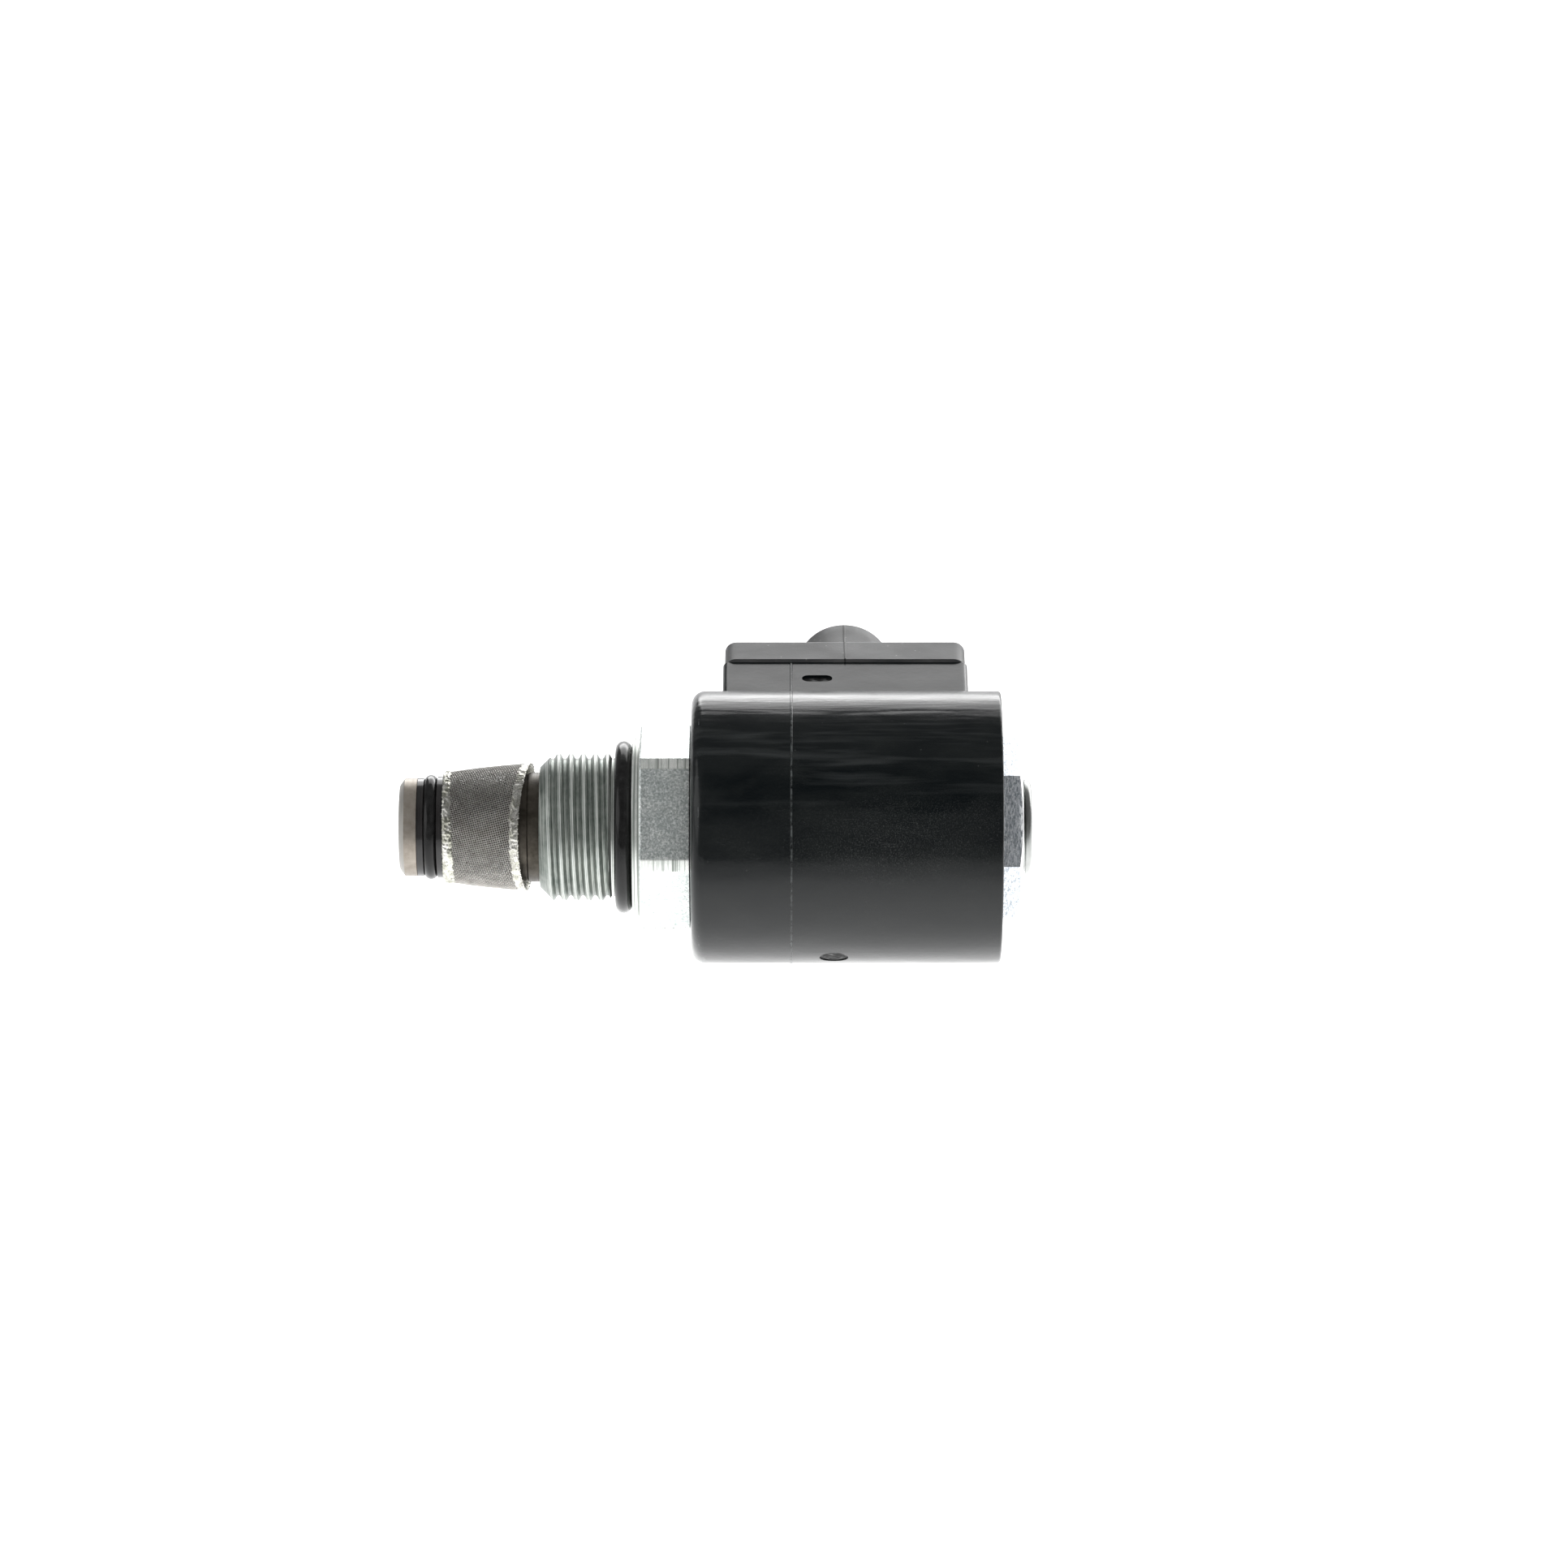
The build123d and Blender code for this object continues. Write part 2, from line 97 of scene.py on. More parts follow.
class Nodes:
    """Short calls that add and join a material's nodes."""

    def __init__(self, name, base, metallic, roughness, **sockets):
        self.material = bpy.data.materials.new(name)
        self.material.use_nodes = True
        self.tree = self.material.node_tree
        self.shader = self.tree.nodes["Principled BSDF"]
        self.shader.inputs["Base Color"].default_value = (*base, 1)
        self.shader.inputs["Metallic"].default_value = metallic
        self.shader.inputs["Roughness"].default_value = roughness
        for key, value in sockets.items():
            self.shader.inputs[key.replace("_", " ")].default_value = value
        self.place = self.add("ShaderNodeTexCoord").outputs["Object"]

    def add(self, kind):
        return self.tree.nodes.new(kind)

    def join(self, source, target):
        self.tree.links.new(source, target)

    def stretched(self, scale):
        """Object coordinates multiplied by a scale for each axis, per metre."""
        node = self.add("ShaderNodeMapping")
        node.inputs["Scale"].default_value = scale
        self.join(self.place, node.inputs["Vector"])
        return node.outputs["Vector"]

    def noise(self, scale, detail=3.0, roughness=0.5, distortion=0.0, where=None):
        """Fractal noise about 0.5, read at the object's scaled coordinates or at where."""
        node = self.add("ShaderNodeTexNoise")
        node.inputs["Scale"].default_value = 1.0
        node.inputs["Detail"].default_value = detail
        node.inputs["Roughness"].default_value = roughness
        node.inputs["Distortion"].default_value = distortion
        self.join(where or self.stretched(scale), node.inputs["Vector"])
        return node.outputs["Fac"]

    def cells(self, scale):
        """The distance to the nearest of many scattered points, in cell widths."""
        node = self.add("ShaderNodeTexVoronoi")
        node.feature = "F1"
        node.inputs["Scale"].default_value = 1.0
        node.inputs["Randomness"].default_value = 1.0
        self.join(self.stretched(scale), node.inputs["Vector"])
        return node.outputs["Distance"]

    def ramp(self, value, low, high, out_low=0.0, out_high=1.0):
        """A value mapped from one range to another, held at both ends."""
        node = self.add("ShaderNodeMapRange")
        node.inputs["From Min"].default_value = low
        node.inputs["From Max"].default_value = high
        node.inputs["To Min"].default_value = out_low
        node.inputs["To Max"].default_value = out_high
        self.join(value, node.inputs["Value"])
        return node.outputs["Result"]

    def along(self, axis):
        """The distance along an axis from the origin, in metres."""
        node = self.add("ShaderNodeSeparateXYZ")
        self.join(self.place, node.inputs["Vector"])
        return node.outputs[axis]

    def line(self, at, width):
        """1 on a thin line round the part at a station along X, 0 away from it."""
        off = self.combine("ABSOLUTE", self.combine("SUBTRACT", self.along("X"), at), 0.0)
        return self.ramp(off, 0.35 * width, 0.65 * width, 1.0, 0.0)

    def near(self, spot, inner, outer, stretch=(1.0, 1.0, 1.0)):
        """1 within the inner distance of a spot in metres, 0 past the outer one.

        A stretch below 1 lengthens the patch along that axis.
        """
        node = self.add("ShaderNodeVectorMath")
        node.operation = "DISTANCE"
        node.inputs[1].default_value = tuple(a * b for a, b in zip(spot, stretch))
        self.join(self.stretched(stretch), node.inputs[0])
        return self.ramp(node.outputs["Value"], inner, outer, 1.0, 0.0)

    def combine(self, operation, a, b):
        """A maths operation on two values, each an output or a number."""
        node = self.add("ShaderNodeMath")
        node.operation = operation
        for socket, value in zip(node.inputs, (a, b)):
            if isinstance(value, (int, float)):
                socket.default_value = value
            else:
                self.join(value, socket)
        return node.outputs["Value"]

    def blend_colours(self, factor, a, b):
        """A mix of two colours, each an output or a tuple: a at 0 and b at 1."""
        node = self.add("ShaderNodeMix")
        node.data_type = "RGBA"
        self.join(factor, node.inputs["Factor"])
        for socket, value in ((node.inputs[6], a), (node.inputs[7], b)):
            if isinstance(value, tuple):
                socket.default_value = (*value, 1)
            else:
                self.join(value, socket)
        return node.outputs[2]

    def colour(self, output):
        self.join(output, self.shader.inputs["Base Color"])

    def metallic(self, output):
        self.join(output, self.shader.inputs["Metallic"])

    def roughness(self, output):
        self.join(output, self.shader.inputs["Roughness"])

    def bump(self, *layers):
        """Bump layers, each (height output, depth in metres)."""
        normal = None
        for height, depth in layers:
            node = self.add("ShaderNodeBump")
            node.inputs["Strength"].default_value = 1.0
            node.inputs["Distance"].default_value = depth
            self.join(height, node.inputs["Height"])
            if normal is not None:
                self.join(normal, node.inputs["Normal"])
            normal = node.outputs["Normal"]
        self.join(normal, self.shader.inputs["Normal"])


def along_x(lengthwise, across):
    """A noise scale for marks that run round the valve's axis."""
    return (lengthwise, across, across)


def even(scale):
    """The same noise scale on all three axes."""
    return (scale, scale, scale)


# ---------------------------------------------------------------- materials


def zinc_plate():
    """Zinc plated steel: fine crystalline grain, small dings, cool grey."""
    m = Nodes("zinc_plate", (0.66, 0.68, 0.67), 0.90, 0.34)
    grain = m.noise(even(3300), 5, 0.75)
    fine = m.noise(even(6000), 3, 0.7)
    cloud = m.noise(even(420), 3, 0.55)
    tint = m.blend_colours(m.ramp(cloud, 0.35, 0.65), (0.60, 0.64, 0.63), (0.74, 0.77, 0.75))
    tint = m.blend_colours(m.ramp(grain, 0.42, 0.66), tint, (0.30, 0.34, 0.33))
    m.colour(m.blend_colours(m.ramp(grain, 0.48, 0.30), tint, (0.98, 1.0, 0.99)))
    m.roughness(m.ramp(m.noise(even(2600), 4, 0.6), 0.3, 0.7, 0.28, 0.46))
    dings = m.ramp(m.cells(even(210)), 0.03, 0.07)
    m.bump((grain, 0.00005), (fine, 0.000016), (dings, 0.00012))
    return m.material


def turned_zinc():
    """Zinc plated steel that was turned: rings round the axis, light and dark."""
    m = Nodes("turned_zinc", (0.60, 0.62, 0.60), 0.80, 0.26)
    rings = m.noise(along_x(14000, 60), 3, 0.6)
    bands = m.noise(along_x(3800, 30), 2, 0.6)
    cloud = m.noise(even(600), 3, 0.55)
    tint = m.blend_colours(m.ramp(cloud, 0.3, 0.7), (0.56, 0.59, 0.56), (0.76, 0.77, 0.74))
    m.colour(m.blend_colours(m.ramp(bands, 0.50, 0.64), tint, (0.24, 0.26, 0.24)))
    m.roughness(m.ramp(bands, 0.35, 0.65, 0.20, 0.40))
    m.bump((bands, 0.000012), (rings, 0.000003))
    return m.material


# The cavity thread is 3/4-16. Its finish follows the same helix as its mesh.
THREAD_PITCH = 25.4 / 16
THREAD_DEPTH = 0.60
THREAD_PHASE = 0.35
MAJOR_R = 9.525


def thread_zinc():
    """Rolled thread: greenish grey flanks, fine lines along the helix, and a painted highlight on
    both edges of each crest.
    """
    m = Nodes("thread_zinc", (0.34, 0.36, 0.34), 0.8, 0.36)
    lines_per_pitch, along_lines = 15.0, 90.0
    x, y, z = m.along("X"), m.along("Y"), m.along("Z")
    climb = m.combine("MULTIPLY", m.combine("ARCTAN2", z, y), THREAD_PITCH * MM / (2 * math.pi))
    turns = m.combine("SUBTRACT", m.combine("ADD", x, THREAD_PHASE * MM), climb)
    place = m.combine("FRACT", m.combine("DIVIDE", turns, THREAD_PITCH * MM), 0.0)
    helix = m.add("ShaderNodeCombineXYZ")
    m.join(m.combine("MULTIPLY", place, lines_per_pitch), helix.inputs["X"])
    m.join(m.combine("MULTIPLY", y, along_lines), helix.inputs["Y"])
    m.join(m.combine("MULTIPLY", m.combine("ADD", z, x), along_lines), helix.inputs["Z"])
    lines = m.noise(None, 3, 0.65, where=helix.outputs["Vector"])
    cloud = m.noise(even(700), 4, 0.6)
    tint = m.blend_colours(m.ramp(cloud, 0.3, 0.7), (0.10, 0.12, 0.108), (0.22, 0.24, 0.22))
    tint = m.blend_colours(m.ramp(lines, 0.50, 0.70), tint, (0.40, 0.42, 0.39))
    # Painted highlight: a bright colour on both edges of each crest, where light would catch.
    from_crest = m.combine("ABSOLUTE", m.combine("SUBTRACT", place, 0.5), 0.0)
    rise, fall = m.ramp(from_crest, 0.40, 0.44), m.ramp(from_crest, 0.46, 0.49, 0.75, 0.0)
    crest_highlight = m.combine("MULTIPLY", rise, fall)
    m.colour(m.blend_colours(crest_highlight, tint, (0.66, 0.68, 0.65)))
    m.roughness(m.ramp(lines, 0.3, 0.7, 0.28, 0.46))
    m.bump((lines, 0.00002))
    return m.material


NUT_EDGE_X = 0.0501


def nut_zinc():
    """Bluish zinc on the coil nut, scuffed by a spanner, with a painted highlight: a white band at
    its outer edge.
    """
    m = Nodes("nut_zinc", (0.64, 0.67, 0.70), 0.90, 0.34)
    scuffs = m.noise((4200, 1100, 1100), 5, 0.75, 0.5)
    specks = m.ramp(m.noise(even(3000), 4, 0.75), 0.54, 0.64)
    tint = m.blend_colours(m.ramp(scuffs, 0.40, 0.60), (0.28, 0.32, 0.36), (0.86, 0.89, 0.93))
    tint = m.blend_colours(m.combine("MULTIPLY", specks, 0.9), tint, (0.96, 0.98, 1.0))
    # Painted highlight: a white band with a ragged border near the outer edge, less metallic so
    # that the lamps light it.
    ragged = m.combine("ADD", m.along("X"), m.ramp(scuffs, 0.3, 0.7, -0.0002, 0.0002))
    highlight_band_and_wear = m.ramp(ragged, NUT_EDGE_X, NUT_EDGE_X + 0.00025)
    m.colour(m.blend_colours(highlight_band_and_wear, tint, (1.0, 1.0, 1.0)))
    m.metallic(m.ramp(highlight_band_and_wear, 0.0, 1.0, 0.90, 0.45))
    m.roughness(m.ramp(scuffs, 0.3, 0.7, 0.26, 0.48))
    m.bump((scuffs, 0.00007), (m.noise(even(3200), 4, 0.7), 0.00005))
    return m.material


NECK_X = -0.0240
NOSE_RIM_X = -0.02956


def cage_steel():
    """Hardened steel with a brown cast: grinding rings, a pale rim and painted shade on the neck.
    """
    m = Nodes("cage_steel", (0.34, 0.30, 0.26), 0.85, 0.40)
    rings = m.noise(along_x(9000, 40), 4, 0.6)
    cloud = m.noise(even(500), 4, 0.6)
    ground = m.blend_colours(m.ramp(cloud, 0.3, 0.7), (0.21, 0.182, 0.152), (0.33, 0.30, 0.262))
    # Painted shade: past NECK_X the neck, deep in the gap behind the screen, is coloured near
    # black.
    neck = m.ramp(m.along("X"), NECK_X, NECK_X + 0.0006)
    painted_neck_shade = m.blend_colours(m.ramp(cloud, 0.3, 0.7), (0.028, 0.024, 0.018), (0.084, 0.075, 0.062))
    rim = m.ramp(m.along("X"), NOSE_RIM_X, NOSE_RIM_X + 0.00006, 1.0, 0.0)
    ground = m.blend_colours(rim, ground, (0.30, 0.29, 0.27))
    m.colour(m.blend_colours(neck, ground, painted_neck_shade))
    m.roughness(m.ramp(rings, 0.3, 0.7, 0.32, 0.50))
    m.bump((rings, 0.000008), (m.noise(even(3800), 4, 0.6), 0.000006))
    return m.material


def bright_steel(name, base, scale=9000.0):
    """Machined steel or brass with fine rings."""
    m = Nodes(name, base, 1.0, 0.28)
    rings = m.noise(along_x(scale, 50), 3, 0.6)
    darker = tuple(0.82 * c for c in base)
    m.colour(m.blend_colours(m.ramp(m.noise(even(700), 3, 0.5), 0.3, 0.7), darker, base))
    m.roughness(m.ramp(rings, 0.3, 0.7, 0.2, 0.38))
    m.bump((rings, 0.000006))
    return m.material


def screen_wire():
    """Stainless wire: bright on the knuckles, a little tarnished."""
    m = Nodes("screen_wire", (0.55, 0.53, 0.50), 1.0, 0.30)
    cloud = m.noise(even(900), 4, 0.6)
    m.colour(m.blend_colours(m.ramp(cloud, 0.3, 0.7), (0.36, 0.345, 0.32), (0.60, 0.58, 0.55)))
    m.roughness(m.ramp(m.noise(even(4000), 2), 0.3, 0.7, 0.24, 0.42))
    m.bump((m.noise(even(12000), 2), 0.000004))
    return m.material


def weld_metal():
    """Crushed and welded wire: smeared bright metal with darker greenish patches."""
    m = Nodes("weld_metal", (0.74, 0.74, 0.70), 1.0, 0.26)
    lumps = m.noise(even(1500), 5, 0.7, 1.2)
    dull_and_sheen = m.ramp(m.noise(even(900), 4, 0.65, 0.5), 0.40, 0.58)
    pits = m.ramp(m.noise(even(3000), 3, 0.7), 0.60, 0.68)
    base = m.blend_colours(dull_and_sheen, (0.72, 0.71, 0.67), (0.40, 0.40, 0.34))
    m.colour(m.blend_colours(pits, base, (0.10, 0.095, 0.08)))
    m.roughness(m.ramp(lumps, 0.35, 0.65, 0.14, 0.5))
    m.bump((lumps, 0.00008), (m.noise(even(3400), 3, 0.6), 0.00002))
    return m.material


def seal_rubber():
    """Oiled nitrile rubber: black and glossy, with faint mould grain."""
    m = Nodes("seal_rubber", (0.004, 0.004, 0.004), 0.0, 0.16, IOR=1.33)
    smear = m.noise(even(900), 4, 0.6)
    greyer = m.ramp(smear, 0.35, 0.75)
    m.colour(m.blend_colours(greyer, (0.003, 0.003, 0.003), (0.009, 0.009, 0.009)))
    m.roughness(m.ramp(smear, 0.3, 0.7, 0.12, 0.24))
    m.bump((m.noise(even(5200), 3, 0.6), 0.000004))
    return m.material


def backup_plastic():
    """Black sealing plastic with fine turning rings."""
    m = Nodes("backup_plastic", (0.014, 0.013, 0.014), 0.0, 0.3)
    rings = m.noise(along_x(6000, 60), 3)
    greyer = m.ramp(rings, 0.3, 0.7)
    m.colour(m.blend_colours(greyer, (0.004, 0.004, 0.004), (0.012, 0.011, 0.011)))
    m.roughness(m.ramp(rings, 0.3, 0.7, 0.12, 0.22))
    m.bump((rings, 0.000006))
    return m.material


# Places of marks on the coil.
SEAM_X = 0.0206
# Station of a painted highlight: a thin bright line round the coil's left edge.
LEFT_EDGE_HIGHLIGHT_X = 0.0087
CONNECTOR_X = 0.0277
EJECTOR_MARK = (0.0261, -0.0129, -0.0122)
DUSTY_PATCH = (0.0335, -0.0163, 0.0068)
SINK_MARKS = (0.0300, -0.0060, 0.0167)
GATE_SLOT = (0.0240, 0.0176, 0.0123)


def overmould():
    """Black moulded coil plastic: glossy, with sink marks, dust, streaks and a parting line;
    painted highlights on the parting line and the left edge, a painted reflection over the sink
    marks and painted shade in the gate slot.
    """
    m = Nodes("overmould", (0.004, 0.005, 0.006), 0.0, 0.2, IOR=1.37)
    peel = m.noise(even(1300), 3, 0.5)
    waves = m.noise(even(150), 1, 0.4)
    sinks = m.noise((65, 480, 480), 2, 0.5, 0.2)
    upper = m.near(SINK_MARKS, 0.006, 0.012, (0.25, 1.0, 1.0))
    sinks = m.combine("MULTIPLY", sinks, upper)
    smudge = m.noise((110, 260, 260), 5, 0.6, 0.5)

    cloud = m.ramp(m.noise(even(85), 3, 0.6), 0.46, 0.66, 0.0, 0.4)
    dusty = m.combine("ADD", cloud, m.near(DUSTY_PATCH, 0.001, 0.0080, (0.40, 1.0, 1.0)))
    dust = m.ramp(m.noise(even(5600), 4, 0.8), 0.50, 0.72, 0.0, 0.8)
    specks = m.ramp(m.cells(even(430)), 0.03, 0.06, 0.4, 0.0)
    streak = m.ramp(m.noise((130, 1900, 1900), 4, 0.7, 0.3), 0.62, 0.80, 0.0, 0.5)
    wear = m.combine("MULTIPLY", m.combine("ADD", streak, dust), dusty)
    wear = m.combine("MINIMUM", m.combine("ADD", wear, specks), 1.0)
    darker = m.ramp(smudge, 0.35, 0.7)
    base = m.blend_colours(darker, (0.001, 0.0018, 0.0022), (0.0035, 0.0045, 0.0045))
    base = m.blend_colours(m.combine("MULTIPLY", wear, 0.5), base, (0.05, 0.052, 0.05))

    # Painted highlights: broken lines of lighter colour along the parting line, which is also a
    # real ridge in the bump, and round the left edge.
    seam = m.line(SEAM_X, 0.00024)
    left_edge_highlight = m.line(LEFT_EDGE_HIGHLIGHT_X, 0.00016)
    broken = m.ramp(m.noise(even(1300), 4, 0.7), 0.40, 0.62, 0.0, 0.8)
    highlight_breaks = m.ramp(m.noise(even(260), 5, 0.75), 0.54, 0.66, 0.0, 0.8)
    seam_highlight = m.combine("MULTIPLY", seam, broken)
    lines = m.combine("ADD", seam_highlight, m.combine("MULTIPLY", left_edge_highlight, highlight_breaks))
    base = m.blend_colours(lines, base, (0.05, 0.055, 0.055))
    # Painted reflection: long lighter streaks over the sink marks near the top.
    dull_and_sheen = m.ramp(m.noise((45, 620, 620), 3, 0.6, 0.3), 0.48, 0.70, 0.0, 0.55)
    dull_and_sheen = m.combine("MULTIPLY", dull_and_sheen, upper)
    base = m.blend_colours(dull_and_sheen, base, (0.022, 0.024, 0.024))

    # Painted shade: the floor of the slot at GATE_SLOT is coloured near black; the ejector dimple
    # is coloured darker and rougher as well.
    gate = m.near(GATE_SLOT, 0.00080, 0.00096, (0.45, 1.0, 1.0))
    dimple_and_slot_shade = m.combine("MAXIMUM", m.near(EJECTOR_MARK, 0.0014, 0.0019), gate)
    dimple_and_slot_shade = m.combine("MULTIPLY", dimple_and_slot_shade, m.ramp(peel, 0.35, 0.55, 0.3, 1.0))
    m.colour(m.blend_colours(dimple_and_slot_shade, base, (0.0006, 0.0006, 0.0006)))
    glossy = m.ramp(smudge, 0.3, 0.75, 0.16, 0.27)
    highlight_band_and_wear = m.combine("MAXIMUM", m.combine("MULTIPLY", wear, 0.16), m.combine("MULTIPLY", dimple_and_slot_shade, 0.6))
    m.roughness(m.combine("ADD", glossy, highlight_band_and_wear))
    fine = m.noise(even(4200), 3, 0.6)
    m.bump((waves, 0.00010), (sinks, 0.00012), (peel, 0.000012), (fine, 0.000005), (seam, 0.00008))
    return m.material


def receptacle_plastic():
    """Black connector plastic: a finer, more matt texture than the overmould."""
    m = Nodes("receptacle_plastic", (0.02, 0.02, 0.021), 0.0, 0.5, Specular_IOR_Level=0.85)
    texture = m.noise(even(4200), 4, 0.6)
    smudge = m.noise((140, 300, 300), 4, 0.6, 0.4)
    scuff = m.ramp(m.noise((2400, 300, 300), 5, 0.7, 0.5), 0.62, 0.8)
    specks = m.ramp(m.cells(even(700)), 0.05, 0.09, 1.0, 0.0)
    base = m.blend_colours(m.ramp(smudge, 0.3, 0.7), (0.024, 0.025, 0.026), (0.048, 0.048, 0.048))
    wear = m.combine("MINIMUM", m.combine("ADD", m.combine("MULTIPLY", scuff, 0.5), specks), 1.0)
    base = m.blend_colours(m.combine("MULTIPLY", wear, 0.7), base, (0.17, 0.17, 0.17))
    seam = m.line(CONNECTOR_X, 0.00022)
    m.colour(m.blend_colours(m.combine("MULTIPLY", seam, 0.7), base, (0.002, 0.002, 0.002)))
    m.roughness(m.ramp(smudge, 0.3, 0.7, 0.42, 0.6))
    m.bump((texture, 0.000016), (m.noise(even(1300), 3), 0.000012), (seam, 0.00006))
    return m.material


def bobbin_plastic():
    """Glass filled plastic of the bobbin."""
    m = Nodes("bobbin_plastic", (0.09, 0.09, 0.088), 0.0, 0.5)
    fibres = m.noise((3500, 900, 900), 4, 0.65)
    m.colour(m.blend_colours(m.ramp(fibres, 0.3, 0.7), (0.06, 0.06, 0.058), (0.13, 0.13, 0.125)))
    m.bump((fibres, 0.00001))
    return m.material


def enamelled_copper():
    """Layers of enamelled copper wire, side by side round the bobbin."""
    m = Nodes("enamelled_copper", (0.72, 0.33, 0.16), 1.0, 0.25)
    wave = m.add("ShaderNodeTexWave")
    wave.bands_direction = "X"
    wave.inputs["Scale"].default_value = 1.0
    m.join(m.stretched(even(700)), wave.inputs["Vector"])
    m.colour(m.blend_colours(wave.outputs["Fac"], (0.40, 0.14, 0.06), (0.80, 0.40, 0.20)))
    m.roughness(m.ramp(m.noise(even(2500), 3), 0.3, 0.7, 0.18, 0.34))
    m.bump((wave.outputs["Fac"], 0.00012))
    return m.material


def tin_plate():
    """Tin plated terminal pins."""
    m = Nodes("tin_plate", (0.78, 0.77, 0.74), 1.0, 0.22)
    drawn = m.noise((5200, 260, 5200), 3, 0.6)
    m.colour(m.blend_colours(m.ramp(drawn, 0.3, 0.7), (0.66, 0.65, 0.62), (0.84, 0.83, 0.81)))
    m.roughness(m.ramp(drawn, 0.3, 0.7, 0.15, 0.32))
    m.bump((drawn, 0.000006))
    return m.material


UNDER_COIL = (0.028, 0.0, -0.0178)


def floor_acrylic():
    """A pale floor with a painted pool of light: it glows brightest under the valve, which lifts
    the valve's shadow.
    """
    m = Nodes("floor_acrylic", (0.64, 0.64, 0.64), 0.0, 0.7, Specular_IOR_Level=0.2)
    tooth = m.noise(even(900), 3)
    m.colour(m.blend_colours(m.ramp(tooth, 0.3, 0.7), (0.63, 0.63, 0.63), (0.65, 0.65, 0.65)))
    # Painted light: emission 1.75 within 0.02 m of the spot under the coil, falling to 0.12 past
    # 0.12 m.
    glow = m.near(UNDER_COIL, 0.02, 0.12)
    m.shader.inputs["Emission Color"].default_value = (1, 1, 1, 1)
    m.join(m.ramp(glow, 0.0, 1.0, 0.12, 1.75), m.shader.inputs["Emission Strength"])
    return m.material


materials = {
    "zinc": zinc_plate(),
    "turned_zinc": turned_zinc(),
    "thread": thread_zinc(),
    "nut_zinc": nut_zinc(),
    "cage": cage_steel(),
    "core": bright_steel("core_steel", (0.56, 0.56, 0.56)),
    "stud": bright_steel("stud_steel", (0.36, 0.37, 0.36)),
    "tube": bright_steel("tube_steel", (0.64, 0.64, 0.64)),
    "spring": bright_steel("spring_steel", (0.48, 0.48, 0.49), 3000.0),
    "flux": bright_steel("flux_steel", (0.50, 0.53, 0.53), 4000.0),
    "bright_zinc": bright_steel("bright_zinc", (0.88, 0.90, 0.90), 6000.0),
    "spool": bright_steel("spool_steel", (0.13, 0.13, 0.135)),
    "brass": bright_steel("shim_brass", (0.78, 0.60, 0.30)),
    "wire": screen_wire(),
    "weld": weld_metal(),
    "rubber": seal_rubber(),
    "backup": backup_plastic(),
    "overmould": overmould(),
    "receptacle": receptacle_plastic(),
    "bobbin": bobbin_plastic(),
    "copper": enamelled_copper(),
    "pins": tin_plate(),
}


# ---------------------------------------------------------------- mesh tools

AROUND = 288
CORNER_EASE = 0.06


def new_piece(name, vertices, faces, finishes, body, replaced=(), face_finish=None):
    """A piece from vertices in millimetres, with one or more materials."""
    mesh = bpy.data.meshes.new(name)
    mesh.from_pydata((np.asarray(vertices) * MM).tolist(), [], np.asarray(faces).tolist())
    for finish in finishes:
        mesh.materials.append(materials[finish])
    if face_finish is not None:
        mesh.polygons.foreach_set("material_index", np.asarray(face_finish, dtype=np.int32))
    mesh.shade_smooth()
    mesh.validate()
    mesh.update()
    piece = bpy.data.objects.new(name, mesh)
    bpy.context.collection.objects.link(piece)
    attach(piece, body)
    if replaced:
        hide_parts(*replaced)
    return piece


def eased(points, size, steps=3):
    """A closed outline of (x, r) with each corner rounded by a small arc."""
    points = [np.array(p, float) for p in points]
    out = []
    count = len(points)
    for i in range(count):
        before, here, after = points[i - 1], points[i], points[(i + 1) % count]
        back, ahead = before - here, after - here
        room = min(np.linalg.norm(back), np.linalg.norm(ahead)) * 0.45
        cut = min(size, room)
        start = here + back / np.linalg.norm(back) * cut
        end = here + ahead / np.linalg.norm(ahead) * cut
        for k in range(steps + 1):
            t = k / steps
            out.append((1 - t) ** 2 * start + 2 * t * (1 - t) * here + t * t * end)
    return np.array(out)


def grid_faces(rows, columns):
    """Quads of a grid of points that closes on itself both ways."""
    r = np.arange(rows)[:, None]
    c = np.arange(columns)[None, :]
    r2 = (r + 1) % rows
    c2 = (c + 1) % columns
    quads = np.stack(
        [r * columns + c, r * columns + c2, r2 * columns + c2, r2 * columns + c], axis=-1
    )
    return quads.reshape(-1, 4)


def turn(x, r):
    """Points in millimetres of stations x and radii r, both (rows, columns)."""
    angle = 2 * math.pi * np.arange(x.shape[1]) / x.shape[1]
    angle = np.broadcast_to(angle, x.shape)
    points = np.stack([x, r * np.cos(angle), r * np.sin(angle)], axis=-1)
    return points.reshape(-1, 3)


def lathe(name, outline, finish, body, replaced):
    """A turned piece from a closed outline of (x, r) in millimetres."""
    outline = eased(outline, CORNER_EASE)
    x = np.repeat(outline[:, :1], AROUND, axis=1)
    r = np.repeat(outline[:, 1:], AROUND, axis=1)
    faces = grid_faces(len(outline), AROUND)
    piece = new_piece(name, turn(x, r), faces, [finish], body, replaced)
    weigh_normals(piece)
    return piece


def weigh_normals(piece):
    """Large faces keep their flat shading next to small edge breaks."""
    modifier = piece.modifiers.new("normals", "WEIGHTED_NORMAL")
    modifier.keep_sharp = True
    modifier.weight = 100


def node_box(name):
    """A CAD node's lowest and highest corners in millimetres."""
    low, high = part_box(name)
    return np.array(low) / MM, np.array(high) / MM


# ---------------------------------------------------------------- valve body


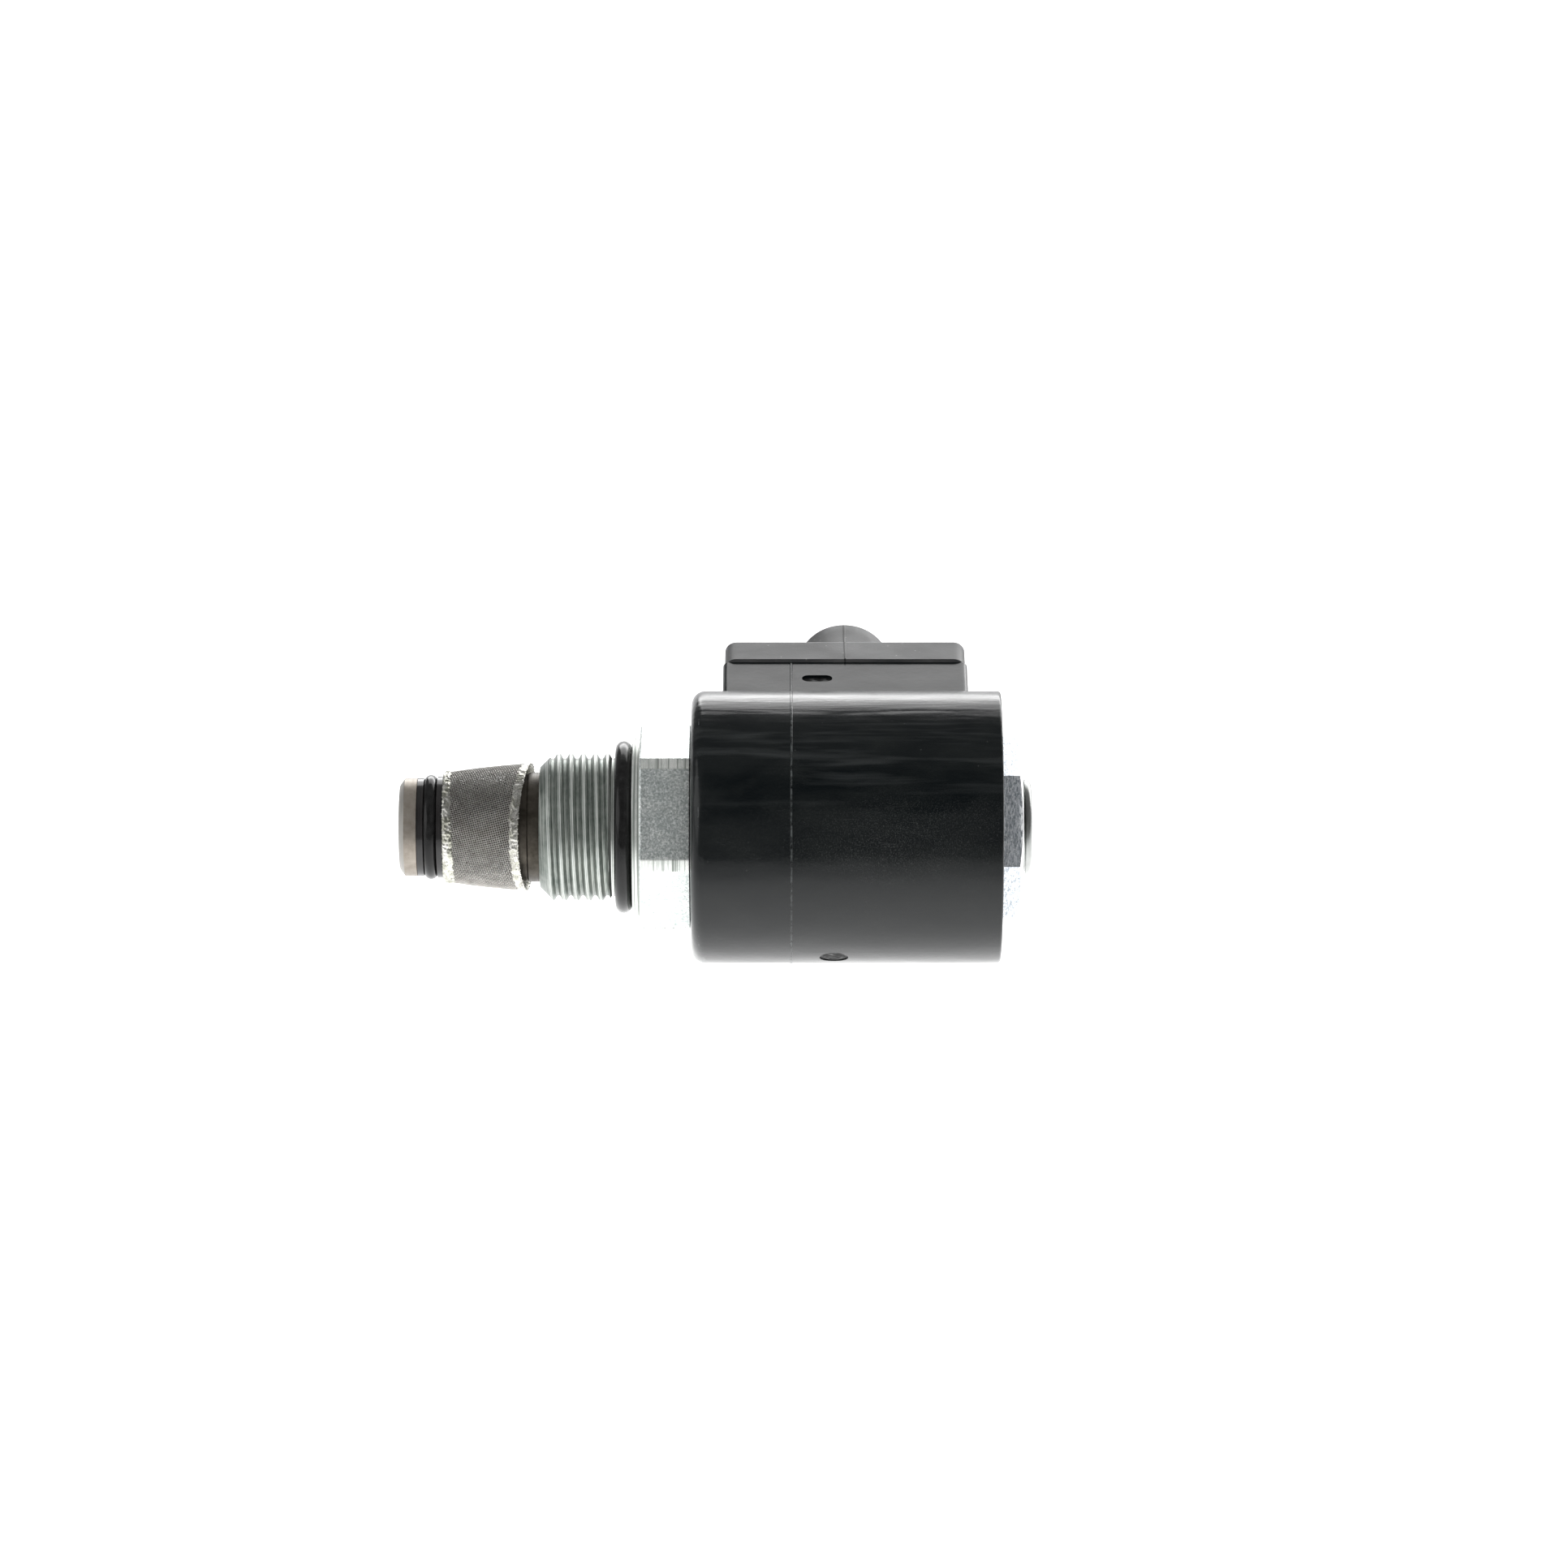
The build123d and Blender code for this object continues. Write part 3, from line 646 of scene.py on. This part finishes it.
def thread_radius(x, angle, major_r, pitch, depth, phase):
    """The radius of a rolled right-hand thread at stations x and angles."""
    along = (x - pitch * angle / (2 * math.pi) + phase) / pitch
    offset = np.abs(along - np.round(along))
    half_crest, flank, fold, fold_width = 0.12, 0.30, 0.05, 0.10
    t = np.clip((offset - half_crest) / flank, 0, 1)
    crest_fold = fold * np.exp(-((offset * pitch / fold_width) ** 2))
    return major_r - depth * t * t * (3 - 2 * t) - crest_fold


def hex_radius(angle, half_flats, flat_angle):
    """The radius of a hexagon with a flat facing flat_angle."""
    sixth = math.pi / 3
    off = np.mod(angle - flat_angle + sixth / 2, sixth) - sixth / 2
    return half_flats / np.cos(off)


class Rings:
    """Rings of points round the axis, each a station x and a radius."""

    def __init__(self, columns):
        self.columns = columns
        self.angle = (2 * math.pi * np.arange(columns) / columns)[None, :]
        self.xs, self.rs = [], []

    def add(self, x, radius):
        for values, value in ((self.xs, x), (self.rs, radius)):
            values.append(np.broadcast_to(np.asarray(value, float), (1, self.columns)))

    def mesh(self):
        """The vertices and faces of the closed form the rings make in order."""
        x, r = np.concatenate(self.xs), np.concatenate(self.rs)
        return turn(x, r), grid_faces(len(x), self.columns)


def make_valve_body():
    """Hex adapter with a real helical thread, in one closed mesh.

    The rings run along the thread, the washer and the hexagon, and back through the bore.
    """
    low, high = node_box("valve_body")
    start_x, end_x = low[0], high[0]
    lead_r, lead_end_x = 7.85, start_x + 1.7
    thread_end_x, relief_r = -3.0, 8.95
    washer_r, washer_x = 11.6, 1.0
    half_flats, corner_r, edge_break = 11.9, 13.3, 0.22
    cage_bore_r, cage_bore_x = 7.15, -3.0
    tube_bore_r = 6.4
    groove_r, groove_x = 7.35, (-1.3, 0.3)
    retainer_bore_r, retainer_x = 7.65, 2.0
    flat_angle = math.radians(180 - 37)
    thread_step = 0.066
    rings = Rings(576)

    x = np.arange(start_x, thread_end_x + 0.3, thread_step)[:, None]
    r = thread_radius(x, rings.angle, MAJOR_R, THREAD_PITCH, THREAD_DEPTH, THREAD_PHASE)
    lead = lead_r + (x - start_x) * (MAJOR_R - lead_r) / (lead_end_x - start_x)
    runout = MAJOR_R - (x - thread_end_x) * 2.0
    r = np.minimum(np.minimum(r, lead), runout)
    r = np.where(x > thread_end_x - 0.25, np.minimum(r, np.maximum(relief_r, runout)), r)
    for at, radius in zip(x, r):
        rings.add(at, radius)

    hexagon = np.minimum(hex_radius(rings.angle, half_flats, flat_angle), corner_r)
    for at, radius in (
        (thread_end_x + 0.36, relief_r),
        (-0.12, relief_r),
        (-0.03, relief_r + 0.03),
        (0.0, relief_r + 0.12),
        (0.0, washer_r - 0.25),
        (0.05, washer_r - 0.12),
        (0.15, washer_r - 0.03),
        (0.3, washer_r),
        (washer_x - 0.05, washer_r),
        (washer_x, washer_r + 0.03),
        (washer_x, hexagon - edge_break),
        (washer_x + 0.07, hexagon - edge_break * 0.4),
        (washer_x + edge_break, hexagon),
        (end_x - 0.08, hexagon),
        (end_x, hexagon - 0.08),
        (end_x, retainer_bore_r + 0.15),
        (end_x - 0.15, retainer_bore_r),
        (retainer_x, retainer_bore_r),
        (retainer_x, tube_bore_r),
        (groove_x[1], tube_bore_r),
        (groove_x[1], groove_r),
        (groove_x[0], groove_r),
        (groove_x[0], tube_bore_r),
        (cage_bore_x, tube_bore_r),
        (cage_bore_x, cage_bore_r),
        (start_x, cage_bore_r),
    ):
        rings.add(at, radius)

    vertices, faces = rings.mesh()
    middle = vertices[faces].mean(axis=1)
    on_corner = np.hypot(middle[:, 1], middle[:, 2]) > corner_r - 0.03
    turned = (middle[:, 0] < washer_x + 0.02) | on_corner
    on_thread = middle[:, 0] < thread_end_x + 0.3
    finish = turned.astype(int) + on_thread
    piece = new_piece(
        "valve_body_threaded", vertices, faces, ["zinc", "turned_zinc", "thread"],
        "cartridge", ["valve_body"], finish,
    )
    piece.data.set_sharp_from_angle(angle=math.radians(24))


# ---------------------------------------------------------------- cage


def make_cage():
    """Ground steel cage with its nose land, waist, cross holes and neck."""
    low, high = node_box("cage")
    bore_r, nose_r, tip_x = 3.5, 6.35, low[0]
    piece = lathe(
        "cage_body",
        [
            (tip_x, bore_r + 0.4),
            (tip_x, nose_r - 0.9),
            (tip_x + 0.65, nose_r),
            (-27.9, nose_r),
            (-27.9, 5.0),
            (-24.45, 5.0),
            (-24.45, 6.75),
            (-23.0, 6.75),
            (-22.4, 6.0),
            (-16.8, 6.0),
            (-16.2, 6.9),
            (-13.6, 6.9),
            (-13.45, 7.1),
            (high[0], 7.1),
            (high[0], bore_r),
            (tip_x + 0.4, bore_r),
        ],
        "cage", "cartridge", ["cage"],
    )
    hole_x, hole_r, reach = -19.6 * MM, 2.0 * MM, 5.0 * MM
    drills = []
    for n in range(4):
        bpy.ops.mesh.primitive_cylinder_add(vertices=64, radius=hole_r, depth=reach)
        drill = bpy.context.object
        around = math.radians(45 + 90 * n)
        drill.location = (hole_x, -reach * math.sin(around), reach * math.cos(around))
        drill.rotation_euler = (around, 0, 0)
        drills.append(drill)
    cut_with(piece, drills)


def cut_with(piece, tools):
    """Cuts each tool out of a piece, then removes the tools."""
    for tool in tools:
        modifier = piece.modifiers.new("cut", "BOOLEAN")
        modifier.operation = "DIFFERENCE"
        modifier.solver = "EXACT"
        modifier.object = tool
    for modifier in [m for m in piece.modifiers if m.type == "WEIGHTED_NORMAL"]:
        piece.modifiers.remove(modifier)
    bpy.context.view_layer.update()
    graph = bpy.context.evaluated_depsgraph_get()
    mesh = bpy.data.meshes.new_from_object(piece.evaluated_get(graph))
    piece.modifiers.clear()
    old = piece.data
    piece.data = mesh
    bpy.data.meshes.remove(old)
    for tool in tools:
        data = tool.data
        bpy.data.objects.remove(tool)
        bpy.data.meshes.remove(data)
    piece.data.shade_smooth()
    piece.data.set_sharp_from_angle(angle=math.radians(32))
    weigh_normals(piece)


# ---------------------------------------------------------------- filter screen

WEAVE_PITCH = 0.285
WEAVE_TILT = math.radians(14.5)
WIRE_R = 0.062
WARP_COUNT = 164
WEFT_COUNT = 42
SAMPLES_PER_CROSSING = 3
STRAND_LENGTH = 12.2
FACING_CAMERA = math.pi - CAMERA_ELEVATION


def screen_surface():
    """The screen's left end, its mean radius at a station and its right rim at an angle."""
    low, high = node_box("filter_screen")
    left_x, right_x = low[0], high[0] - 0.2
    left_r, right_r = 7.0, 8.2

    def radius(x):
        t = (x - left_x) / (right_x - left_x)
        swell = 0.12 * np.sin(math.pi * np.clip(t, 0, 1))
        return left_r + (right_r - left_r) * t + swell

    def right_rim(angle):
        off = angle - FACING_CAMERA
        return right_x - 0.05 - 0.8 * np.cos(off) - 0.2 * np.cos(2 * off) - 0.27 * np.sin(off)

    return left_x, radius, right_rim


screen_left_x, screen_radius, screen_right_rim = screen_surface()


def strand(n, family):
    """One wire's distance along, its angle, and its lift over (1) or under (-1) the other."""
    cos_t, sin_t = math.cos(WEAVE_TILT), math.sin(WEAVE_TILT)
    full_turn = 2 * math.pi
    crossings = STRAND_LENGTH * cos_t / WEAVE_PITCH
    if family == "warp":
        crossings = crossings * 1.07
    else:
        crossings = crossings / WEFT_COUNT * WARP_COUNT + STRAND_LENGTH * sin_t / WEAVE_PITCH
    t = np.linspace(0, STRAND_LENGTH, int(crossings * SAMPLES_PER_CROSSING))
    if family == "warp":
        angle = (n - t * sin_t / WEAVE_PITCH) * full_turn / WARP_COUNT
        other = -WEFT_COUNT * angle / full_turn + t * cos_t / WEAVE_PITCH
        return t, angle, np.cos(math.pi * (other + n))
    angle = (t * cos_t / WEAVE_PITCH - n) * full_turn / WEFT_COUNT
    other = WARP_COUNT * angle / full_turn + t * sin_t / WEAVE_PITCH
    return t, angle, -np.cos(math.pi * (other + n))


def square_wire(centre, outward):
    """Vertices and faces of a capped wire with four sides along a line of points."""
    run = np.gradient(centre, axis=0)
    run /= np.linalg.norm(run, axis=1, keepdims=True)
    side = np.cross(run, outward)
    side /= np.linalg.norm(side, axis=1, keepdims=True)
    up = np.cross(side, run)
    loop = []
    for k in range(4):
        around = math.pi / 4 + k * math.pi / 2
        loop.append(centre + WIRE_R * (math.cos(around) * side + math.sin(around) * up))
    vertices = np.stack(loop, axis=1).reshape(-1, 3)
    i = np.arange(len(centre) - 1)[:, None]
    k = np.arange(4)[None, :]
    k2 = (k + 1) % 4
    quads = np.stack([i * 4 + k, i * 4 + k2, (i + 1) * 4 + k2, (i + 1) * 4 + k], axis=-1)
    last = (len(centre) - 1) * 4
    caps = np.array([[3, 2, 1, 0], [last, last + 1, last + 2, last + 3]])
    return vertices, np.concatenate([quads.reshape(-1, 4), caps])


def weave_wires(name, family, count, seed, replaced):
    """One family of woven wires, each a helical strand that goes over and under."""
    random = np.random.RandomState(seed)
    vertices, faces = [], []
    used = 0
    for n in range(count):
        t, angle, lift = strand(n, family)
        x = screen_left_x - 0.05 + t
        spare_left, spare_right = random.uniform(-0.12, 0.12, 2)
        rim = screen_right_rim(angle) + spare_right * 0.8
        keep = (x > screen_left_x + spare_left) & (x < rim)
        x, angle, lift = x[keep], angle[keep], lift[keep]
        r = screen_radius(x) + WIRE_R * 0.95 * lift
        centre = np.stack([x, r * np.cos(angle), r * np.sin(angle)], axis=-1)
        outward = np.stack([np.zeros_like(x), np.cos(angle), np.sin(angle)], axis=-1)
        wire_vertices, wire_faces = square_wire(centre, outward)
        vertices.append(wire_vertices)
        faces.append(wire_faces + used)
        used += len(wire_vertices)
    new_piece(
        name, np.concatenate(vertices), np.concatenate(faces), ["wire"],
        "cartridge", replaced,
    )


def rough(x, angle, scale, seed):
    """Smooth noise on the screen, about -1 to 1."""
    spot = (x * scale, 7.5 * math.cos(angle) * scale + seed, 7.5 * math.sin(angle) * scale)
    return noise.noise(Vector(spot))


def left_band(angle):
    """The band by the seals: its start, end, least height and height of lumps."""
    ragged, fringe = band_edges(angle)
    wider_below = (1 + math.cos(angle - FACING_CAMERA - math.pi / 2)) / 2
    start = screen_left_x - 0.15 + fringe
    return start, screen_left_x + 0.85 + ragged + 0.55 * wider_below, 0.06, 0.20


def right_band(angle):
    """The same for the band by the thread."""
    ragged, fringe = band_edges(angle)
    rim = float(screen_right_rim(angle))
    return rim - 1.15 + ragged, rim + 0.02 + fringe, -0.01, 0.13


def band_edges(angle):
    """How far a band's inner border and its outer rim stray at an angle."""
    ragged = 0.20 * rough(0, angle, 1.1, 3) + 0.16 * rough(0, angle, 4.5, 9)
    return ragged, 0.10 * rough(0, angle, 5.0, 5)


def weld_band(name, band):
    """The crushed and welded edge of the screen, lumpy with ragged borders."""
    columns, rows = 720, 18
    below = WIRE_R + 0.05
    x = np.zeros((2 * rows, columns))
    r = np.zeros((2 * rows, columns))
    for c in range(columns):
        angle = 2 * math.pi * c / columns
        start, end, low, lumpy = band(angle)
        for k in range(rows):
            t = k / (rows - 1)
            at = start + (end - start) * t
            crown = math.sin(math.pi * t) ** 0.35 if 0 < t < 1 else 0
            lumps = 0.9 * rough(at, angle, 1.0, 1) + 0.7 * rough(at, angle, 3.0, 2)
            over = WIRE_R + low + lumpy * max(0.0, 0.45 + lumps)
            mean = float(screen_radius(at))
            x[k, c] = at
            r[k, c] = mean + crown * over
            x[2 * rows - 1 - k, c] = at
            r[2 * rows - 1 - k, c] = mean - 0.02 - crown * below
    faces = grid_faces(2 * rows, columns)
    new_piece(name, turn(x, r), faces, ["weld"], "cartridge")


# ---------------------------------------------------------------- coil nut and threaded stud

STUD_PITCH = 1.27


def make_coil_nut():
    """Hexagon nut with a chamfered outer face and a recess for its seal."""
    low, high = node_box("coil_nut")
    start_x, end_x = low[0] - 0.10, high[0]
    half_flats, chamfer_r, slope = 10.2, 9.8, math.tan(math.radians(14))
    bore_r = 6.25
    recess_r, recess_x = (7.05, 8.25), start_x + 1.1
    flat_angle = math.radians(180 - 33)
    rings = Rings(720)
    hexagon = hex_radius(rings.angle, half_flats, flat_angle)
    corner_x = end_x - (hexagon - chamfer_r) * slope
    for at, radius in (
        (start_x, bore_r + 0.15),
        (start_x, recess_r[0]),
        (recess_x, recess_r[0]),
        (recess_x, recess_r[1]),
        (start_x, recess_r[1]),
        (start_x, hexagon - 0.06),
        (start_x + 0.06, hexagon),
        (corner_x - 0.05, hexagon),
        (corner_x + 0.03, hexagon - 0.05),
        (end_x - 0.02, chamfer_r + 0.03),
        (end_x, chamfer_r - 0.08),
        (end_x, bore_r + 0.55),
        (end_x - 0.5, bore_r + 0.02),
    ):
        rings.add(at, radius)
    for at in np.arange(end_x - 0.55, start_x + 0.2, -0.08):
        rings.add(at, bore_r)
    vertices, faces = rings.mesh()
    chamfer = vertices[faces][:, :, 0].min(axis=1) > corner_x.min() - 0.06
    piece = new_piece(
        "coil_nut_hex", vertices, faces, ["nut_zinc", "bright_zinc"],
        "nut", ["coil_nut"], chamfer.astype(int),
    )
    piece.data.set_sharp_from_angle(angle=math.radians(24))


def make_stud():
    """The pole piece with its spring bore, threaded stud and rounded end."""
    low, high = node_box("pole_piece")
    core_r, core_end_x = 5.58, 46.42
    shoulder_r, shoulder_x = 6.35, 47.0
    spring_bore_r, spring_bore_x = 2.7, 33.0
    stud_r, thread_depth, thread_phase, thread_step = 6.2, 0.5, 0.1, 0.05
    end_x, round_r, dish_x = high[0], 0.8, high[0] - 0.25
    rings = Rings(432)
    for at, radius in (
        (spring_bore_x, 0.02),
        (spring_bore_x, spring_bore_r),
        (low[0], spring_bore_r),
        (low[0], core_r),
        (core_end_x, core_r),
        (core_end_x, shoulder_r),
        (shoulder_x, shoulder_r),
    ):
        rings.add(at, radius)
    for at in np.arange(shoulder_x + 0.02, end_x - 0.75, thread_step):
        x = np.full_like(rings.angle, at)
        thread = thread_radius(x, rings.angle, stud_r, STUD_PITCH, thread_depth, thread_phase)
        rings.add(at, thread)
    for k in range(9):
        around = k / 8 * math.pi / 2
        back, inward = round_r * (1 - math.sin(around)), round_r * (1 - math.cos(around))
        rings.add(end_x - back, stud_r - inward)
    rings.add(end_x, stud_r - round_r - 0.3)
    rings.add(dish_x, stud_r - round_r - 0.55)
    rings.add(dish_x, 1.2)
    rings.add(end_x - 0.6, 0.02)
    vertices, faces = rings.mesh()
    piece = new_piece(
        "pole_piece_stud", vertices, faces, ["stud"],
        "cartridge", ["pole_piece"],
    )
    piece.data.set_sharp_from_angle(angle=math.radians(30))


# ---------------------------------------------------------------- finishes on CAD nodes

NODE_FINISH = {
    "nose_backup_front": "backup",
    "nose_o_ring": "rubber",
    "nose_backup_rear": "backup",
    "shoulder_o_ring": "rubber",
    "tube_o_ring": "rubber",
    "guide_tube": "tube",
    "tube_retainer": "turned_zinc",
    "armature_stop": "core",
    "residual_shim": "brass",
    "spool": "spool",
    "link_pin": "core",
    "armature": "core",
    "return_spring": "spring",
    "coil_housing": "overmould",
    "flux_washer_front": "flux",
    "flux_washer_rear": "flux",
    "flux_sleeve": "flux",
    "bobbin": "bobbin",
    "winding": "copper",
    "coil_seal_front": "rubber",
    "coil_seal_rear": "rubber",
    "connector_body": "receptacle",
    "terminal_pins": "pins",
    "terminal_leads": "copper",
    "nut_seal": "rubber",
}


def finish_cad_nodes():
    for node, finish in NODE_FINISH.items():
        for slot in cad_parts[node].material_slots:
            slot.material = materials[finish]


def compress_spring():
    """Gives the return spring a mesh of its own."""
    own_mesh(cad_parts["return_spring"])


# ---------------------------------------------------------------- studio

FLOOR_Z = CAD_BOX[0][2]
FLOOR_HALF = 5.0


def make_floor():
    mesh = bpy.data.meshes.new("floor")
    corners = [(-1, -1), (1, -1), (1, 1), (-1, 1)]
    vertices = [(x * FLOOR_HALF, y * FLOOR_HALF, FLOOR_Z) for x, y in corners]
    mesh.from_pydata(vertices, [], [(0, 1, 2, 3)])
    mesh.materials.append(floor_acrylic())
    floor = bpy.data.objects.new("floor", mesh)
    bpy.context.collection.objects.link(floor)


def area_light(name, place, aim_at, size, power, seen_in_gloss):
    """A soft light that either lights surfaces or shows as a reflection."""
    data = bpy.data.lights.new(name, "AREA")
    data.shape = "RECTANGLE"
    data.size, data.size_y = size
    data.energy = power
    light = bpy.data.objects.new(name, data)
    light.location = place
    light.rotation_euler = (Vector(aim_at) - Vector(place)).to_track_quat("-Z", "Y").to_euler()
    light.visible_glossy = seen_in_gloss
    light.visible_diffuse = not seen_in_gloss
    bpy.context.collection.objects.link(light)


def make_lights():
    area_light("front_key", (0, -1.1, 1.15), (0, 0, 0), (2.6, 1.8), 34, False)
    area_light("overhead", (0, 0.2, 1.7), (0, 0, 0), (2.6, 1.6), 16, False)
    area_light("softbox_low", (1.35, 1.7, 0.225), (1.35, 0, 0.225), (3.7, 0.45), 27, True)
    area_light("softbox_high", (1.35, 1.7, 0.845), (1.35, 0, 0.845), (3.7, 0.79), 23, True)
    area_light("left_panel", (-1.6, -0.4, 0.7), (0, 0, 0), (1.6, 1.2), 8, True)


DARK_LOBE_ELEVATION = math.radians(58)


def make_world():
    """Dim room for reflections, darkest high in front where the camera stands."""
    world = bpy.data.worlds.new("studio")
    world.use_nodes = True
    tree = world.node_tree
    background = tree.nodes["Background"]
    path = tree.nodes.new("ShaderNodeLightPath")
    sky = tree.nodes.new("ShaderNodeTexCoord")
    lobe = tree.nodes.new("ShaderNodeVectorMath")
    lobe.operation = "DOT_PRODUCT"
    toward_lobe = (0, -math.cos(DARK_LOBE_ELEVATION), math.sin(DARK_LOBE_ELEVATION))
    lobe.inputs[1].default_value = toward_lobe
    tree.links.new(sky.outputs["Generated"], lobe.inputs[0])
    shade = tree.nodes.new("ShaderNodeMapRange")
    shade.interpolation_type = "SMOOTHSTEP"
    shade.inputs["From Min"].default_value = 0.85
    shade.inputs["From Max"].default_value = 0.99
    shade.inputs["To Min"].default_value = 0.24
    shade.inputs["To Max"].default_value = 0.09
    tree.links.new(lobe.outputs["Value"], shade.inputs["Value"])
    mix = tree.nodes.new("ShaderNodeMix")
    mix.data_type = "RGBA"
    mix.inputs[6].default_value = (0.66, 0.67, 0.68, 1)
    tree.links.new(shade.outputs["Result"], mix.inputs[7])
    tree.links.new(path.outputs["Is Glossy Ray"], mix.inputs["Factor"])
    tree.links.new(mix.outputs[2], background.inputs["Color"])
    bpy.context.scene.world = world


# ---------------------------------------------------------------- build

make_camera()
make_floor()
make_lights()
make_world()
finish_cad_nodes()
compress_spring()
make_cage()
make_valve_body()
weave_wires("screen_warp_wires", "warp", WARP_COUNT, 7, ["filter_screen"])
weave_wires("screen_weft_wires", "weft", WEFT_COUNT, 11, [])
weld_band("screen_band_left", left_band)
weld_band("screen_band_right", right_band)
make_coil_nut()
make_stud()

bpy.context.scene.view_settings.view_transform = "Standard"
